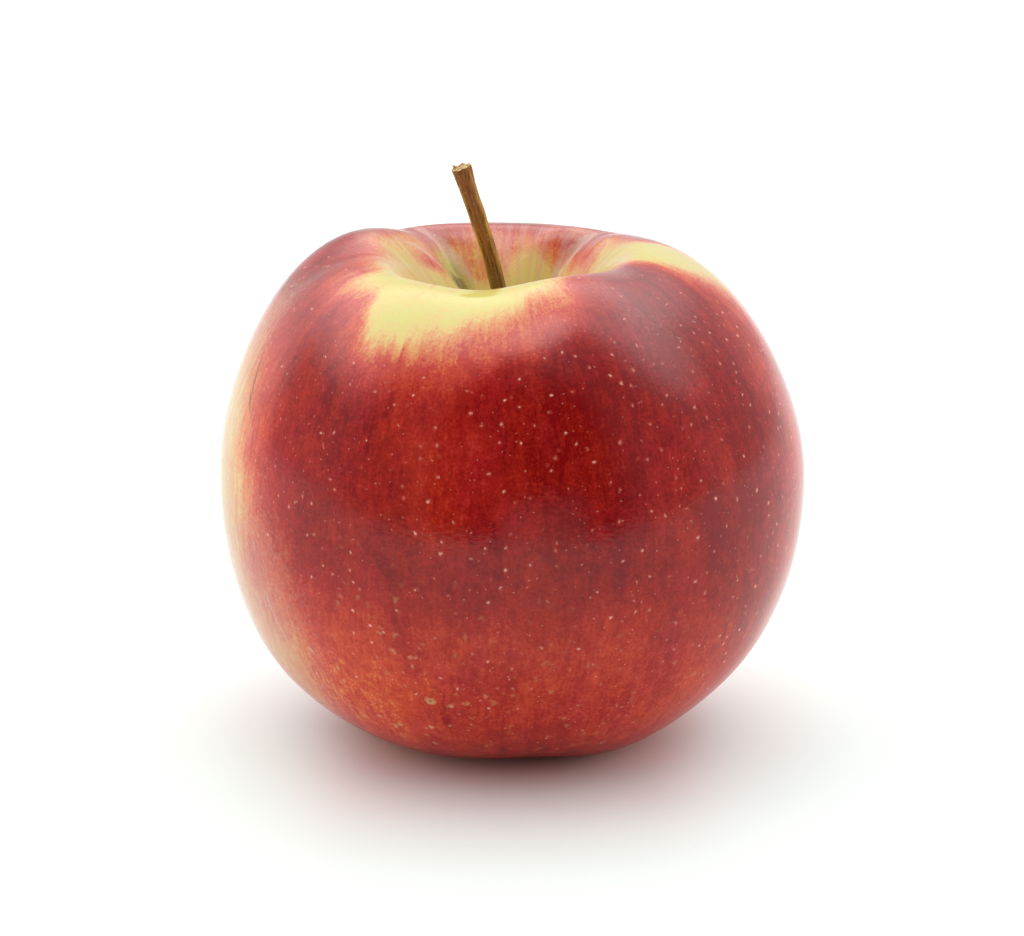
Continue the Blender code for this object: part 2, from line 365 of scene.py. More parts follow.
skinPaint = dict(
    bare=0.05, salmon=0.48, salmonFeather=(-4.5, 3.6), red=0.82, redFeather=(-0.5, 13.0),
    # the edge between bare skin and red, as around and down
    edge=((-180, -7.5), (-150, -7.5), (-135, -6.5), (-120, -4), (-100, -1.0), (-80, 0.0),
          (-62, 0.8), (-52, 2.0), (-46, 4.0), (-41, 8.0), (-37, 12.0), (-34, 13.0), (-30, 11.0),
          (-20, 9.5), (-10, 8.5), (0, 7.0), (8, 5.0), (13, 3.4), (19, 0.6), (27, -3.5),
          (40, -8), (60, -9), (150, -7.5), (180, -7.5)),
    zones=(
        # around, down, half width, half height, pigment added
        # rim of the bare patch
        (-52, 3, 9, 6, -0.10), (20, 3, 7, 5, -0.14), (23, -1.5, 10, 3.5, -0.18),
        (20, 18, 30, 6, 0.06),
        # bare streak, right
        (86, -0.4, 13, 8.2, -0.80), (95, 7.5, 12, 9.5, -0.60), (109, 5.0, 9, 8.0, 0.42),
        (106, -4, 13, 3.2, -0.55), (79, 3.2, 10, 4, -0.26),
        # paler low on the left
        (-62, 60, 13, 11, -0.24), (-58, 63, 12, 8, -0.24), (-114, 38, 12, 22, -0.14),
        (-49, 46, 8, 14, -0.07),
        # redder above and beside the pale band
        (-104, 0, 14, 4, 0.12), (-86, 6, 16, 8, 0.26), (-68, 12, 14, 10, 0.06),
        (-112, 4, 12, 5, 0.20), (-78, -2, 12, 5, 0.10), (-54, 24, 6, 12, 0.10),
        (-41, 30, 8, 16, 0.09), (-37, 14, 8, 9, 0.13), (-34, 23, 5, 6, 0.05),
        # the front
        (-23, 13.5, 9, 4, -0.10), (-22, 34, 7, 12, 0.03), (-10, 27, 5, 12, -0.03),
        (-9, 15, 8, 5, -0.05), (10, 10, 10, 5, -0.03), (16, 25, 17, 13, 0.13),
        (0, 40, 60, 9, 0.08),
        # the right flank
        (46, 7, 18, 10, 0.14), (46, 32, 14, 12, 0.05), (58, 38, 15, 16, 0.12),
        (66, 18, 13, 20, 0.12), (74, 37, 13, 22, -0.17),
        # low in front
        (-34, 60, 20, 13, -0.23), (18, 52, 14, 10, -0.06), (13, 61, 16, 9, -0.06),
        (50, 64, 18, 10, -0.10),
        # the back
        (130, 58, 26, 16, -0.16), (-160, 30, 22, 20, -0.16), (165, 40, 25, 25, 0.08),
        # back wall of the hollow
        (158, -5, 24, 4, -0.08), (-166, -5, 16, 4, -0.08), (175, 0, 20, 2.6, 0.12),
        (-148, 0.5, 10, 3.0, -0.22), (148, 0.5, 10, 3.0, -0.20), (-130, -6.6, 12, 1.8, 0.42),
        (-106, -3.5, 12, 2.2, -0.14), (-112, 0.5, 14, 2.0, 0.16), (122, -5, 8, 2.0, 0.14),
        (118, -1, 13, 3.0, -0.28),
        # painted highlights along the folds, as less pigment
        (140, -5, 2.6, 4.5, -0.16), (-147, -5.5, 5, 3.2, -0.36),
    ),
    bands=((-80, 37, 23, 23, -0.59),), bandFirmness=1.6,     # pale band, left
    # how far noise shifts the edge in front and at the back, and the zones around and down
    edgeWander=(1.6, 5.0), backFrom=(60.0, 120.0), zoneDrift=(5.0, 1.5),
    basinFrom=(82.0, 97.0), basinFade=0.62,
    mottles=(
        # around, down, half width, half height, amount
        (-27, 58, 24, 13, 0.85), (-5, 67, 70, 8, 0.50), (20, 56, 26, 9, 0.30),
        (-62, 62, 18, 14, 0.40), (150, 62, 70, 13, 0.50), (-100, 60, 30, 14, 0.45),
    ),
)


def spread(around, down, zones, firmness=1.0):
    total = np.zeros_like(around)
    for centre, level, halfWidth, halfHeight, amount in zones:
        turn = (around - centre + 180.0) % 360.0 - 180.0
        away = (turn / halfWidth) ** 2 + ((down - level) / halfHeight) ** 2
        total += amount * np.exp(-away ** firmness)
    return total


def paintFruit(around, down, uneven, paint):
    edge = np.interp(around, *np.array(paint.edge, float).T)
    backShare = smoothStep(np.abs(around), *paint.backFrom)
    edge += uneven * np.interp(backShare, (0.0, 1.0), paint.edgeWander)
    salmon, red = (smoothStep(down, edge + low, edge + high)
                   for low, high in (paint.salmonFeather, paint.redFeather))
    pigment = paint.salmon * salmon + (paint.red - paint.salmon) * red
    pigment += spread(around, down, paint.zones)
    pigment += spread(around, down, paint.bands, paint.bandFirmness)
    pigment -= paint.basinFade * smoothStep(down, *paint.basinFrom)
    return np.clip(pigment, paint.bare, 1.0)


def noiseOver(points, size):
    return np.array([noiseAt(Vector(point) / size) for point in points])


def makeFruit(material):
    sizes = SimpleNamespace(**fruitShape)
    section, downs = fruitSection(sizes)
    shape = bmesh.new()
    downLayer = shape.verts.layers.float.new("down")
    line = []
    for (radius, height), down in zip(section, downs):
        vertex = shape.verts.new((radius * mm, 0.0, height * mm))
        vertex[downLayer] = down
        line.append(vertex)
    spinLine(shape, line, sizes.turns, sizes.mergeWithin)
    mesh = meshFrom(shape, "appleBody")

    x, y, height = (pointsOf(mesh) / mm).T
    down = np.empty(len(mesh.vertices))
    mesh.attributes["down"].data.foreach_get("value", down)
    angle = np.arctan2(x, y)
    grown = growFruit(np.hypot(x, y), height, angle, sizes)
    dent = noiseOver(grown, sizes.dentSize)
    dentDepth = sizes.dents * (0.5 + 0.5 * dent) / sizes.widestRadius
    grown *= (sizes.shrink - dentDepth)[:, None]
    grown[:, 2] = np.maximum(grown[:, 2], 0.0)     # the feet are pressed flat
    movePoints(mesh, grown)

    around = 180.0 - np.degrees(np.mod(angle, math.tau))
    setAttribute(mesh, "growth", np.stack([np.sin(angle), np.cos(angle), down / growthUnit], -1))
    uneven = noiseOver(grown, sizes.unevenSize)
    sideways, downwards = skinPaint["zoneDrift"]
    pigment = paintFruit(around + sideways * uneven, down + downwards * dent, uneven,
                         SimpleNamespace(**skinPaint))
    setAttribute(mesh, "pigment", pigment)
    mottle = spread(around, down, skinPaint["mottles"])
    setAttribute(mesh, "mottle", np.clip(mottle, 0.0, 1.0))
    return addPiece(mesh, "apple_body", material, "skin", "fruit")


# Skin. A pair of limits in a value below is where something starts and where it is full,
# and two more numbers are what it rises from and to. A pattern has its cells per metre, or
# per unit of growth, its detail, its roughness and its squeeze along the growth.

skinLook = dict(
    # share of pigment -> colour
    ramp=((0.0, (0.65, 0.59, 0.158)), (0.18, (0.71, 0.505, 0.16)), (0.38, (0.68, 0.24, 0.080)),
          (0.58, (0.57, 0.058, 0.027)), (0.80, (0.37, 0.016, 0.009)),
          (1.0, (0.20, 0.003, 0.003))),
    # streaks follow the growth and wander a little: cells per unit of growth, squeeze, amount
    streaks=((8.0, 0.20, 0.20), (22.0, 0.20, 0.22), (70.0, 0.24, 0.22)),
    wander=dict(scale=160.0, amount=0.035, middle=0.5),
    # blotches: cells per metre, amount
    blotches=((120.0, 0.26), (650.0, 0.26), (2600.0, 0.32)),
    fineDetail=3.0, fineRoughness=0.6,
    darkPattern=(13.0, 4.0, 0.65, 0.22), darkWhere=(0.60, 0.74), darkStreaks=0.17,
    # red runs into bare skin in streaks
    flame=(30.0, 4.0, 0.70, 0.20), flameAmount=0.46,
    flameFrom=(0.0, 0.25), flameTo=(0.80, 0.40), flameBelow=(-5.0, 2.0, 0.35, 1.0),
    speckle=(850.0, 4.0, 0.7), speckleMiddle=0.54, speckleAmount=0.42,

    # the red leans to crimson or to scarlet
    crimson=(0.94, 0.74, 1.22), scarlet=(1.05, 1.12, 0.84),
    huePattern=(5.0, 3.0, 0.6, 0.6), hueWhere=(0.35, 0.65), hueIn=(0.25, 0.6),
    hueInMottle=0.4, hueInThinRed=(0.66, 0.40, 0.0, 0.5),
    hollowGreen=(0.42, 0.50, 0.10), greenDeep=(-7.0, -19.0, 0.0, 0.75), greenIn=(0.5, 0.1),
    # painted shade, dark and dull, towards the back rim, and a painted pale sheen on the wall of the
    # stem hollow
    dusk=(0.22, 0.06, 0.065), duskAround=(95.0, 135.0), duskIn=(0.25, 0.60, 0.0, 0.30),
    duskAbove=(3.0, 0.5), duskBelow=(-4.5, -1.0),
    haze=(0.66, 0.31, 0.26), hazePattern=(15.0, 3.0, 0.60, 0.10), hazeWhere=(0.42, 0.60, 0.12, 1.0),
    hazeInside=(1.5, -2.5, 0.0, 0.44), hazeAbove=(-14.0, -7.0),

    # beige flecks, where the skin is mottled
    olive=(0.62, 0.36, 0.15), fleckWarp=dict(scale=900.0, amount=0.0020, detail=3.0),
    fleckCells=460.0, fleckSize=(0.28, 0.06), fleckAmount=0.80,
    # pores: pale dots, each with a faint rim, and small ones between them
    dotColour=(0.76, 0.34, 0.26), rimColour=(0.58, 0.11, 0.07),
    poreWarp=dict(scale=1400.0, amount=0.0007), poreCells=545.0, poreEvenness=0.85,
    poreSize=(0.13, 0.05), rimSize=(0.24, 0.10, 0.0, 0.22), poreBrightness=(0.0, 1.0, 0.30, 1.0),
    smallCells=900.0, smallAmount=0.40, smallInMottle=0.20, poresIn=(0.10, 0.50),

    # a net of russet at the foot of the stem
    russet=(0.16, 0.085, 0.03), net=(900.0, 5.0, 0.75),
    netWhere=(0.47, 0.60), netDeep=(-15.0, -21.0), netAmount=0.8, netRoughness=0.6,
    # after green: two pinkish greys for painted sheen, reflections painted on the skin
    green=(0.30, 0.36, 0.07), bloom=(0.42, 0.20, 0.20), dusty=(0.46, 0.26, 0.20),
    khaki=(0.50, 0.36, 0.17), pale=(0.72, 0.58, 0.50),
    # around, down, tilt, half length and half width in mm, strength, colour
    marks=(
        # painted sheen: most of these first marks are pale reflections painted in pinkish grey on the
        # back rim, the lip, the shoulders and low on the left
        (-142, 0.0, 84, 3.5, 2.4, 0.34, "bloom"),
        (140, 0.0, 94, 3.5, 2.4, 0.34, "bloom"),
        (46, 1.0, 0, 9.0, 2.2, 0.28, "bloom"),
        (-114, 0.6, 0, 11.0, 2.0, 0.40, "dusty"),
        (90, 6.0, 90, 6.0, 7.0, 0.20, "pale"),
        (-66, 17.0, 90, 14.0, 7.0, 0.16, "bloom"),
        (-69, 58.0, 90, 22.0, 14.0, 0.48, "dusty"),
        (-84, 32.0, 90, 20.0, 8.0, 0.50, "khaki"),
        (-130, -4.6, 40, 3.2, 0.45, 0.32, "pale"),
        (50, 6.0, 0, 11.0, 6.0, 0.18, "bloom"),
        (40, 15.0, 60, 7.0, 4.5, 0.12, "bloom"),
        (-69.5, 22.5, 68, 3.4, 0.20, 0.90, "russet"),     # healed scratches, left
        (-67.5, 25.8, 50, 1.8, 0.22, 0.8, "russet"),
        (-148, -6.8, 72, 4.2, 1.5, 0.55, "green"),        # scar in the hollow
        (-149, -7.8, 72, 1.8, 0.75, 0.80, "russet"),
        (-156, -9.6, 60, 0.9, 0.5, 0.80, "russet"),
        (-149, -3.0, 71, 5.5, 0.55, 0.34, "pale"),        # painted highlights along the fold ridges
        (143, -3.5, 105, 6.0, 0.60, 0.32, "pale"),
        (52, 9.0, -10, 0.7, 0.09, 0.28, "pale"),          # small scratches
        (47, 14.0, 30, 0.5, 0.09, 0.28, "pale"),
        (57, 12.5, 20, 0.45, 0.09, 0.28, "pale"),
        (-39, 27.5, 70, 0.5, 0.12, 0.24, "dotColour"),
        (-133, 30.0, 15, 2.4, 0.18, 0.7, "russet"),
        (-55, 52.0, 70, 3.5, 0.35, 0.14, "pale"),
        (-17, 60.0, 20, 0.75, 0.60, 0.7, "olive"),        # ringed spot
        (-17, 60.0, 0, 0.28, 0.25, 0.8, "russet"),
    ),
    # skin radius on the flank and in the hollow, for the marks' widths
    flankRadius=34.0, hollowRadius=11.0,
    markWobble=(1800.0,), wobbleAmount=2.2, markEdge=(1.7, 0.1),
    # marks of painted sheen and of khaki leave the roughness as it is
    smoothMarks=("dusty", "khaki"), markRoughness=0.35,

    roughness=0.075, ior=1.375, roughPattern=(260.0, 4.0, 0.6), roughSpread=0.06,
    ripple=(36.0, 4.0, 0.6, 2.4), rippleBelow=(8.0, 26.0, 0.25, 1.0),
    peel=(650.0, 3.0, 0.6), peelHeight=0.35, poreDepth=0.35,
    grain=(2600.0, 2.0), grainHeight=0.10,
    bumpDistance=0.00005, bumpStrength=0.65,
)


def skinPigment(look, place, grown, down, pigment, mottle):
    fine = (look.fineDetail, look.fineRoughness)
    depth = pigment
    for scale, squeeze, amount in look.streaks:
        depth = addPattern(depth, noise(grown, scale, *fine, squeeze), amount)
    for scale, amount in look.blotches:
        depth = addPattern(depth, noise(place, scale, *fine), amount)
    dark = ease(noise(grown, *look.darkPattern), *look.darkWhere)
    depth = calc("MULTIPLY_ADD", dark, look.darkStreaks, depth)
    edge = product(ease(pigment, *look.flameFrom), ease(pigment, *look.flameTo))
    flame = addPattern(0.0, noise(grown, *look.flame), look.flameAmount)
    flame = product(flame, ease(down, *look.flameBelow))
    depth = calc("MULTIPLY_ADD", edge, flame, depth)
    speckle = addPattern(0.0, noise(place, *look.speckle), look.speckleAmount, look.speckleMiddle)
    return calc("MULTIPLY_ADD", mottle, speckle, depth, clamp=True)


def skinColour(look, growth, grown, around, down, depth, mottle):
    colour = colourRamp(depth, look.ramp)
    hue = ease(noise(growth, *look.huePattern), *look.hueWhere)
    hue = calc("ADD", hue, calc("MULTIPLY", mottle, look.hueInMottle))
    hue = calc("ADD", hue, ease(depth, *look.hueInThinRed), clamp=True)
    tint = blendColours(hue, look.crimson, look.scarlet)
    deep = product(ease(down, *look.greenDeep), ease(depth, *look.greenIn))
    colour = blendColours(deep, colour, look.hollowGreen)
    tinted = blendColours(1.0, colour, tint, "MULTIPLY")
    colour = blendColours(ease(depth, *look.hueIn), colour, tinted)
    # painted shade: darker and duller towards the back rim of the stem hollow
    dusk = product(ease(calc("ABSOLUTE", around), *look.duskAround),
                   ease(down, *look.duskAbove), ease(down, *look.duskBelow),
                   ease(depth, *look.duskIn))
    colour = blendColours(dusk, colour, look.dusk)
    # painted sheen: a pale reflection painted on the wall of the stem hollow
    soft = ease(noise(grown, *look.hazePattern), *look.hazeWhere)
    soft = product(soft, ease(down, *look.hazeInside), ease(down, *look.hazeAbove))
    return blendColours(soft, colour, look.haze)


def addFlecks(look, colour, place, mottle):
    torn = warp(place, place, **look.fleckWarp)
    distance, strong = cells(torn, look.fleckCells)
    fleck = product(ease(distance, *look.fleckSize), strong, calc("MULTIPLY", mottle, look.fleckAmount))
    return blendColours(fleck, colour, look.olive)


def addPores(look, colour, place, depth, mottle):
    warped = warp(place, place, **look.poreWarp)
    distance, bright = cells(warped, look.poreCells, look.poreEvenness)
    small, _ = cells(warped, look.smallCells)
    dots = product(ease(distance, *look.poreSize), ease(bright, *look.poreBrightness))
    specks = product(ease(small, *look.poreSize),
                     calc("MULTIPLY_ADD", mottle, look.smallInMottle, look.smallAmount))
    ripe = ease(depth, *look.poresIn)
    rim = product(ease(distance, *look.rimSize), ripe)
    colour = blendColours(rim, colour, look.rimColour)
    dots = product(calc("MAXIMUM", dots, specks), ripe)
    return blendColours(dots, colour, look.dotColour), dots


def markMask(look, around, down, mark, wobble):
    centre, level, tilt, length, width, strength, _ = mark
    degree = math.radians(look.flankRadius if level > 0 else look.hollowRadius)     # in mm
    cosine = math.cos(math.radians(tilt))
    sine = math.sin(math.radians(tilt))
    across = calc("MULTIPLY", calc("SUBTRACT", around, float(centre)), degree)
    below = calc("SUBTRACT", down, level)
    along = calc("MULTIPLY_ADD", across, cosine / length, calc("MULTIPLY", below, sine / length))
    aside = calc("MULTIPLY_ADD", across, -sine / width, calc("MULTIPLY", below, cosine / width))
    size = calc("ADD", product(along, along), product(aside, aside))
    return product(ease(calc("ADD", size, wobble), *look.markEdge), strength)


def addMarks(look, colour, place, around, down):
    wobble = addPattern(0.0, noise(place, *look.markWobble), look.wobbleAmount)
    net = product(ease(down, *look.netDeep), ease(noise(place, *look.net), *look.netWhere))
    colour = blendColours(product(net, look.netAmount), colour, look.russet)
    scar = product(net, look.netRoughness)
    for mark in look.marks:
        tone = mark[-1]
        mask = markMask(look, around, down, mark, wobble)
        colour = blendColours(mask, colour, skinLook[tone])
        if tone not in look.smoothMarks:
            scar = calc("MAXIMUM", scar, mask)
    return colour, scar


def skinMaterial():
    look = SimpleNamespace(**skinLook)
    material, tree, shader, place = newMaterial("waxySkin")
    growth = attribute(tree, "growth", "Vector")
    pigment = attribute(tree, "pigment")
    mottle = attribute(tree, "mottle")
    x, y, z = split(growth)
    around = turnFromFront(x, y)
    down = calc("MULTIPLY", z, growthUnit)
    grown = warp(growth, place, **look.wander)

    depth = skinPigment(look, place, grown, down, pigment, mottle)
    colour = skinColour(look, growth, grown, around, down, depth, mottle)
    colour = addFlecks(look, colour, place, mottle)
    colour, dots = addPores(look, colour, place, depth, mottle)
    colour, scar = addMarks(look, colour, place, around, down)

    rough = addPattern(look.roughness, noise(place, *look.roughPattern), look.roughSpread)
    rough = calc("MULTIPLY_ADD", scar, look.markRoughness, rough)
    ripple = noise(grown, *look.ripple)
    height = product(ripple, ease(down, *look.rippleBelow))
    for pattern, amount in ((noise(place, *look.peel), look.peelHeight),
                            (noise(place, *look.grain), look.grainHeight), (dots, -look.poreDepth)):
        height = calc("MULTIPLY_ADD", pattern, amount, height)
    setInputs(shader, {"Base Color": colour, "Roughness": rough, "IOR": look.ior,
                       "Normal": bumpFrom(height, look.bumpDistance, look.bumpStrength)})
    return material


makeFruit(skinMaterial())
print("fruit made")


# Rods: a straight closed rod is spun, then laid along a route

rodMaking = dict(
    mergeWithin=1e-6, lookAhead=0.01, endFrom=0.9999, tornRim=0.86, grainUnit=2.0,
    waveCounts=(4, 14), waveDepth=0.8,
)


# a smooth curve through the points of a route
def smoothRoute(points, share):
    points = np.array(points, float)
    ends = np.vstack([2 * points[0] - points[1], points, 2 * points[-1] - points[-2]])
    walked = share * (len(points) - 1)
    index = np.minimum(walked.astype(int), len(points) - 2)
    step = (walked - index)[:, None]
    before, start, end, after = (ends[index + offset] for offset in range(4))
    return (2 * start + (end - before) * step
            + (2 * before - 5 * start + 4 * end - after) * step ** 2
            + (3 * start - before - 3 * end + after) * step ** 3) / 2


# folds around a rod that twist and wave along it
def ripples(angle, along, seed, count, fewest, most, twist):
    random = np.random.default_rng(seed)
    total = np.zeros_like(angle)
    for _ in range(count):
        folds = random.integers(fewest, most)
        start = random.uniform(0, math.tau)
        slant = random.normal()
        waves = random.uniform(*rodMaking["waveCounts"])
        wave = rodMaking["waveDepth"] * np.sin(along * waves + random.uniform(0, math.tau))
        total += np.sin(folds * angle + start + twist * slant * along + wave)
    return total / count ** 0.5


def makeRod(name, route, radii, fineness, shapeRadius, shapeEnd=None):
    rings, turns, capRings = fineness
    shape = bmesh.new()
    caps = [ring / capRings for ring in range(capRings)]
    profile = ([(share, 0.0) for share in caps] + [(1.0, ring / rings) for ring in range(rings + 1)]
               + [(share, 1.0) for share in reversed(caps)])
    line = [shape.verts.new((share, 0.0, along)) for share, along in profile]
    spinLine(shape, line, turns, rodMaking["mergeWithin"])
    mesh = meshFrom(shape, name)

    x, y, along = pointsOf(mesh).T
    share = np.hypot(x, y)
    angle = np.arctan2(y, x)
    ahead = smoothRoute(route, np.minimum(along + rodMaking["lookAhead"], 1.0))
    forward = ahead - smoothRoute(route, np.maximum(along - rodMaking["lookAhead"], 0.0))
    forward /= np.linalg.norm(forward, axis=1)[:, None]
    right = np.array([1.0, 0.0, 0.0]) - forward * forward[:, :1]
    right /= np.linalg.norm(right, axis=1)[:, None]
    back = np.cross(forward, right)
    radius = np.interp(along, np.linspace(0, 1, len(radii)), radii) * shapeRadius(angle, along)
    outwards = np.cos(angle)[:, None] * right + np.sin(angle)[:, None] * back
    points = smoothRoute(route, along) + (radius * share)[:, None] * outwards
    if shapeEnd:
        points += shapeEnd(share, angle, along)[:, None] * forward
    movePoints(mesh, points)
    grain = along * np.linalg.norm(np.subtract(route[-1], route[0])) / rodMaking["grainUnit"]
    torn = smoothStep(share, 1.0, rodMaking["tornRim"])
    setAttribute(mesh, "grain", np.stack([np.cos(angle), np.sin(angle), grain], -1))
    setAttribute(mesh, "along", along)
    setAttribute(mesh, "torn", np.where(along > rodMaking["endFrom"], torn, 0.0))
    return mesh


# Stem. Lengths in mm, depths as shares of the radius

stemShape = dict(
    route=((0.1, 0, 48.9), (-1.0, 0.2, 55.5), (-2.6, 0.3, 62.4), (-4.2, 0.1, 67.8),
           (-5.5, -0.2, 71.8), (-6.45, -0.5, 74.9)),
    radii=(0.90, 0.92, 0.93, 0.94, 0.96, 0.98, 1.0, 1.02, 1.04, 1.06, 1.08, 1.10, 1.14, 1.22, 1.30),
    fineness=(260, 64, 7),     # rings, turns and rings on an end
    # angle, depth, half width in degrees, start, end along the stem
    grooves=((-62, 0.20, 11, 0.10, 0.88), (-118, 0.09, 10, 0.25, 1.1), (-20, 0.08, 12, -0.2, 0.7),
             (60, 0.14, 14, 0.1, 0.9), (150, 0.14, 14, -0.2, 0.8)),
    grooveTwist=0.25, grooveFade=0.15,
    # depth and pattern of the bark's ridges
    ridges=((0.025, dict(seed=3, count=7, fewest=3, most=9, twist=2.5)),
            (0.014, dict(seed=5, count=9, fewest=12, most=26, twist=5.0))),
    # depth, waves along the stem, their start, and how far they tilt across it
    swellings=((0.012, 21.0, 1.0, 0.0), (0.010, 47.0, 0.0, 2.0)),
    footFlare=0.25, footLength=0.05,
    # the broken end: ragged rim, lumps and a hollow
    tipFrom=0.975, rimDepth=0.05, rimSpread=3.0, endHollow=0.10,
    rim=dict(seed=11, count=8, fewest=2, most=9, twist=2.0),
    lumpHeight=0.09, lumpsAcross=5.0, lumpsBack=6.0,
    # torn fibres: middle and spread, or least and most
    fibres=14, fibreSeed=8, fibreTurn=(190.0, 55.0), fibrePlace=(0.65, 0.98),
    fibreLength=(0.25, 0.60), fibreLean=(-0.9, 0.35), fibreTip=(0.0, 0.3),
    fibreRadius=(0.05, 0.10), fibrePoint=0.02, fibreSides=6, fibreRise=0.02, endSlope=0.09,
)


def stemRadius(angle, along):
    sizes = SimpleNamespace(**stemShape)
    radius = 1.0
    for depth, pattern in sizes.ridges:
        radius += depth * ripples(angle, along, **pattern)
    for depth, waves, start, tilt in sizes.swellings:
        radius += depth * np.sin(along * waves + start + tilt * np.cos(angle))
    fade = sizes.grooveFade
    for turn, depth, halfWidth, start, end in sizes.grooves:
        offset = shortWay(angle - math.radians(turn) + sizes.grooveTwist * (along - 0.5))
        window = smoothStep(along, start, start + fade) * (1.0 - smoothStep(along, end - fade, end))
        radius -= depth * window * np.exp(-(offset / math.radians(halfWidth)) ** 2)
    return radius * (1.0 + sizes.footFlare * (1.0 - smoothStep(along, 0.0, sizes.footLength)))


def stemEnd(share, angle, along):
    sizes = SimpleNamespace(**stemShape)
    ragged = ripples(angle, share * sizes.rimSpread, **sizes.rim)
    lump = (sizes.lumpHeight * np.sin(sizes.lumpsAcross * share * np.cos(angle) + 1.0)
            * np.cos(sizes.lumpsBack * share * np.sin(angle)))
    face = np.where(along > rodMaking["endFrom"], lump - sizes.endHollow * (1.0 - share ** 2), 0.0)
    return smoothStep(along, sizes.tipFrom, 1.0) * (sizes.rimDepth * ragged * share + face)


stemLook = dict(
    bark=(0.27, 0.105, 0.014), redBark=(0.25, 0.088, 0.028), redAbove=(0.45, 0.80),
    fibre=(3.2, 5.0, 0.7, 0.22), coarse=(1.4, 3.0, 0.6, 0.30),
    # painted highlights: the edges to the left and right are painted golden, and the same colour is on
    # the ridges of the fibres
    edge=(0.55, 0.33, 0.045), edgeUneven=0.8, edgeWhere=(0.98, 1.30),
    edgeAlong=(1.0, 0.6, 0.20, 0.70),
    groove=(0.075, 0.024, 0.005), grooveWhere=(0.50, 0.36), ridgeWhere=(0.56, 0.70, 0.0, 0.6),
    flecks=(2600.0, 4.0, 0.7), fleckWhere=(0.58, 0.70, 0.0, 0.35),
    foot=(0.07, 0.045, 0.012), footBelow=(0.50, 0.32, 0.0, 0.55),
    torn=(0.84, 0.62, 0.30), wood=(3500.0, 4.0, 0.7), woodWhere=(0.40, 0.62),
    roughness=0.62, shine=0.25,
    grain=(4000.0, 3.0), grainHeight=0.3, bumpDistance=0.00012, bumpStrength=0.8,
)


def stemMaterial():
    look = SimpleNamespace(**stemLook)
    material, tree, shader, place = newMaterial("driedStem")
    grain = attribute(tree, "grain", "Vector")
    along = attribute(tree, "along")
    fibre = noise(grain, *look.fibre)
    coarse = noise(grain, *look.coarse)
    colour = blendColours(ease(along, *look.redAbove), look.bark, look.redBark)
    # painted highlight along the left and right edges of the stem
    side = calc("MULTIPLY_ADD", coarse, look.edgeUneven, calc("ABSOLUTE", split(grain)[0]))
    sideHighlight = product(ease(side, *look.edgeWhere), ease(along, *look.edgeAlong))
    flecks = noise(place, *look.flecks)
    for share, tone in ((sideHighlight, "edge"), (ease(fibre, *look.grooveWhere), "groove"),
                        (ease(fibre, *look.ridgeWhere), "edge"),
                        (ease(flecks, *look.fleckWhere), "torn"),
                        (ease(along, *look.footBelow), "foot")):
        colour = blendColours(share, colour, stemLook[tone])
    wood = noise(place, *look.wood)
    wood = blendColours(ease(wood, *look.woodWhere), look.bark, look.torn)
    colour = blendColours(attribute(tree, "torn"), colour, wood)
    height = calc("MULTIPLY_ADD", noise(place, *look.grain), look.grainHeight, fibre)
    setInputs(shader, {"Base Color": colour, "Roughness": look.roughness,
                       "Specular IOR Level": look.shine,
                       "Normal": bumpFrom(height, look.bumpDistance, look.bumpStrength)})
    return material


# torn fibres stand up along the left of the broken end
def addFibres(mesh, sizes):
    shape = bmesh.new()
    shape.from_mesh(mesh)
    tornLayer = shape.verts.layers.float["torn"]
    random = np.random.default_rng(sizes.fibreSeed)
    end = Vector(sizes.route[-1])
    for _ in range(sizes.fibres):
        turn = math.radians(random.normal(*sizes.fibreTurn))
        reach = sizes.radii[-1] * random.uniform(*sizes.fibrePlace)
        length = random.uniform(*sizes.fibreLength)
        foot = end + Vector((math.cos(turn) * reach, math.sin(turn) * reach,
                             sizes.fibreRise - sizes.endSlope * math.cos(turn)))
        lean = Matrix.Rotation(random.normal(*sizes.fibreLean), 4, "Y")
        tip = Matrix.Rotation(random.normal(*sizes.fibreTip), 4, "X")
        radius = random.uniform(*sizes.fibreRadius)
        spike = bmesh.ops.create_cone(
            shape, cap_ends=True, segments=sizes.fibreSides, radius1=radius * mm,
            radius2=sizes.fibrePoint * mm, depth=length * mm,
            matrix=Matrix.Translation(foot * mm) @ lean @ tip)
        for vertex in spike["verts"]:
            vertex[tornLayer] = 1.0
    shape.to_mesh(mesh)
    shape.free()


def makeStem():
    sizes = SimpleNamespace(**stemShape)
    mesh = makeRod("stemBark", sizes.route, sizes.radii, sizes.fineness, stemRadius, stemEnd)
    addFibres(mesh, sizes)
    return addPiece(mesh, "stem_bark_grown", stemMaterial(), "stem_bark", "stem")


makeStem()
print("stem made")


# Flower remains in the hollow of the base

calyxShape = dict(
    ringRadius=3.0, length=5.6, width=3.2, tipWidth=0.35, thickness=0.35, cup=0.45,
    rootLean=4.0, tipLean=68.0, across=14, steps=44, gap=0.3,
    sepals=5, firstTurn=0.25, sepalSeed=20, curl=(0.7, 1.25), narrowing=1.6, bladeShare=0.7,
    # amount and waves along the sepal, and for the last two waves across it as well
    edgeWaves=(0.05, 9.0), bend=(0.08, 7.0), flutter=(0.10, 16.0, 2.0), wrinkles=(0.04, 31.0, 5.0),
    ribHeight=0.10, ribWidth=0.12,
    stamenRing=1.6, stamenLength=2.9, stamenRadii=(0.19, 0.15, 0.13, 0.12, 0.14, 0.27, 0.26, 0.15),
    stamens=12, stamenLean=2.0, leanStep=5.0, shorterStep=0.10, stamenPoints=6,
    stamenBend=0.10, bendWaves=1.6, bendStart=2.1, stamenFineness=(28, 14, 2),
    stamenRidge=0.08, stamenRidges=dict(count=4, fewest=2, most=5, twist=6.0),
    styleLength=2.1, styleRadii=(0.50, 0.40, 0.34, 0.30, 0.32, 0.34, 0.26),
    stylePoints=5, styleFineness=(30, 20, 3),
    styleRidge=0.07, styleRidges=dict(seed=77, count=5, fewest=3, most=7, twist=4.0),
)

